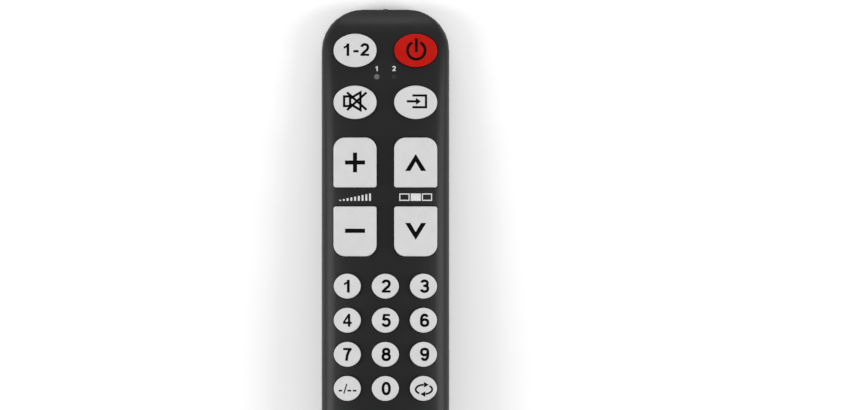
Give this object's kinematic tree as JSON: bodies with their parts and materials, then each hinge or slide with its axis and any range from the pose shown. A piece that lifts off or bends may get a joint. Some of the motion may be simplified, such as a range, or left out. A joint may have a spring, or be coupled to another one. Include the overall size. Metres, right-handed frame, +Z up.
{
  "type": "remote control",
  "caption": "Slim hand-held remote control: crowned two-part shell, large silicone keys that press in, a hinged battery door on the swelling back, and cells inside.",
  "frame": {"origin": "centre of the bounding box on the surface that the remote's back rests on", "axes": "+Y towards the head, where the infrared LED is, +X to the right seen on the keys, +Z up from the surface. The key face is tipped back by about 4.0 degrees, as it is when the back rests on a table"},
  "size_m": [0.0544, 0.2, 0.0327],
  "materials": {
    "case_plastic": "fine satin texture",
    "key_grey": "matt silicone",
    "key_red": "matt silicone",
    "sheet_silicone": "matt silicone",
    "board_laminate": "lacquered laminate",
    "chip_body": "moulded",
    "ceramic": "dipped",
    "capacitor_sleeve": "shrink sleeve",
    "led_chip": "moulded",
    "infrared_lens": "smooth tinted epoxy",
    "screw_steel": "plated",
    "contact_metal": "nickel plated",
    "light_pipe": "smoked clear",
    "cell_jacket": "printed film jacket"
  },
  "bodies": {
    "housing": {"top_case": "case_plastic", "bottom_case": "case_plastic", "keypad_sheet": "sheet_silicone", "circuit_board": "board_laminate", "controller_chip": "chip_body", "resonator": "ceramic", "supply_capacitor": "capacitor_sleeve", "driver_transistor": "chip_body", "chip_resistors": "chip_body", "indicator_leds": "led_chip", "infrared_led": "infrared_lens", "board_screws": "screw_steel", "case_screws": "screw_steel", "contact_plate": "contact_metal", "contact_spring": "contact_metal", "contact_bridge": "contact_metal", "light_pipe_left": "light_pipe", "light_pipe_right": "light_pipe", "battery_cell_left": "cell_jacket", "battery_cell_right": "cell_jacket"},
    "battery_door": {"battery_door": "case_plastic"},
    "key_one_two": {"key_one_two": "key_grey"},
    "key_power": {"key_power": "key_red"},
    "key_mute": {"key_mute": "key_grey"},
    "key_source": {"key_source": "key_grey"},
    "key_volume_up": {"key_volume_up": "key_grey"},
    "key_channel_up": {"key_channel_up": "key_grey"},
    "key_volume_down": {"key_volume_down": "key_grey"},
    "key_channel_down": {"key_channel_down": "key_grey"},
    "key_1": {"key_1": "key_grey"},
    "key_2": {"key_2": "key_grey"},
    "key_3": {"key_3": "key_grey"},
    "key_4": {"key_4": "key_grey"},
    "key_5": {"key_5": "key_grey"},
    "key_6": {"key_6": "key_grey"},
    "key_7": {"key_7": "key_grey"},
    "key_8": {"key_8": "key_grey"},
    "key_9": {"key_9": "key_grey"},
    "key_digits": {"key_digits": "key_grey"},
    "key_0": {"key_0": "key_grey"},
    "key_swap": {"key_swap": "key_grey"}
  },
  "joints": [
    {"name": "battery_door_hinge", "type": "hinge", "parent": "housing", "child": "battery_door", "pos_m": [0, -0.00762, 0.00084], "axis": [1, 0, 0], "range_deg": [0, 60]},
    {"name": "key_one_two_press", "type": "slide", "parent": "housing", "child": "key_one_two", "axis": [0, -0.0695, -0.9976], "range_m": [0, 0.001], "stiffness_N_per_m": 800, "springref_m": -0.0003},
    {"name": "key_power_press", "type": "slide", "parent": "housing", "child": "key_power", "axis": [0, -0.0695, -0.9976], "range_m": [0, 0.001], "stiffness_N_per_m": 800, "springref_m": -0.0003},
    {"name": "key_mute_press", "type": "slide", "parent": "housing", "child": "key_mute", "axis": [0, -0.0695, -0.9976], "range_m": [0, 0.001], "stiffness_N_per_m": 800, "springref_m": -0.0003},
    {"name": "key_source_press", "type": "slide", "parent": "housing", "child": "key_source", "axis": [0, -0.0695, -0.9976], "range_m": [0, 0.001], "stiffness_N_per_m": 800, "springref_m": -0.0003},
    {"name": "key_volume_up_press", "type": "slide", "parent": "housing", "child": "key_volume_up", "axis": [0, -0.0695, -0.9976], "range_m": [0, 0.001], "stiffness_N_per_m": 800, "springref_m": -0.0003},
    {"name": "key_channel_up_press", "type": "slide", "parent": "housing", "child": "key_channel_up", "axis": [0, -0.0695, -0.9976], "range_m": [0, 0.001], "stiffness_N_per_m": 800, "springref_m": -0.0003},
    {"name": "key_volume_down_press", "type": "slide", "parent": "housing", "child": "key_volume_down", "axis": [0, -0.0695, -0.9976], "range_m": [0, 0.001], "stiffness_N_per_m": 800, "springref_m": -0.0003},
    {"name": "key_channel_down_press", "type": "slide", "parent": "housing", "child": "key_channel_down", "axis": [0, -0.0695, -0.9976], "range_m": [0, 0.001], "stiffness_N_per_m": 800, "springref_m": -0.0003},
    {"name": "key_1_press", "type": "slide", "parent": "housing", "child": "key_1", "axis": [0, -0.0695, -0.9976], "range_m": [0, 0.001], "stiffness_N_per_m": 800, "springref_m": -0.0003},
    {"name": "key_2_press", "type": "slide", "parent": "housing", "child": "key_2", "axis": [0, -0.0695, -0.9976], "range_m": [0, 0.001], "stiffness_N_per_m": 800, "springref_m": -0.0003},
    {"name": "key_3_press", "type": "slide", "parent": "housing", "child": "key_3", "axis": [0, -0.0695, -0.9976], "range_m": [0, 0.001], "stiffness_N_per_m": 800, "springref_m": -0.0003},
    {"name": "key_4_press", "type": "slide", "parent": "housing", "child": "key_4", "axis": [0, -0.0695, -0.9976], "range_m": [0, 0.001], "stiffness_N_per_m": 800, "springref_m": -0.0003},
    {"name": "key_5_press", "type": "slide", "parent": "housing", "child": "key_5", "axis": [0, -0.0695, -0.9976], "range_m": [0, 0.001], "stiffness_N_per_m": 800, "springref_m": -0.0003},
    {"name": "key_6_press", "type": "slide", "parent": "housing", "child": "key_6", "axis": [0, -0.0695, -0.9976], "range_m": [0, 0.001], "stiffness_N_per_m": 800, "springref_m": -0.0003},
    {"name": "key_7_press", "type": "slide", "parent": "housing", "child": "key_7", "axis": [0, -0.0695, -0.9976], "range_m": [0, 0.001], "stiffness_N_per_m": 800, "springref_m": -0.0003},
    {"name": "key_8_press", "type": "slide", "parent": "housing", "child": "key_8", "axis": [0, -0.0695, -0.9976], "range_m": [0, 0.001], "stiffness_N_per_m": 800, "springref_m": -0.0003},
    {"name": "key_9_press", "type": "slide", "parent": "housing", "child": "key_9", "axis": [0, -0.0695, -0.9976], "range_m": [0, 0.001], "stiffness_N_per_m": 800, "springref_m": -0.0003},
    {"name": "key_digits_press", "type": "slide", "parent": "housing", "child": "key_digits", "axis": [0, -0.0695, -0.9976], "range_m": [0, 0.001], "stiffness_N_per_m": 800, "springref_m": -0.0003},
    {"name": "key_0_press", "type": "slide", "parent": "housing", "child": "key_0", "axis": [0, -0.0695, -0.9976], "range_m": [0, 0.001], "stiffness_N_per_m": 800, "springref_m": -0.0003},
    {"name": "key_swap_press", "type": "slide", "parent": "housing", "child": "key_swap", "axis": [0, -0.0695, -0.9976], "range_m": [0, 0.001], "stiffness_N_per_m": 800, "springref_m": -0.0003}
  ]
}
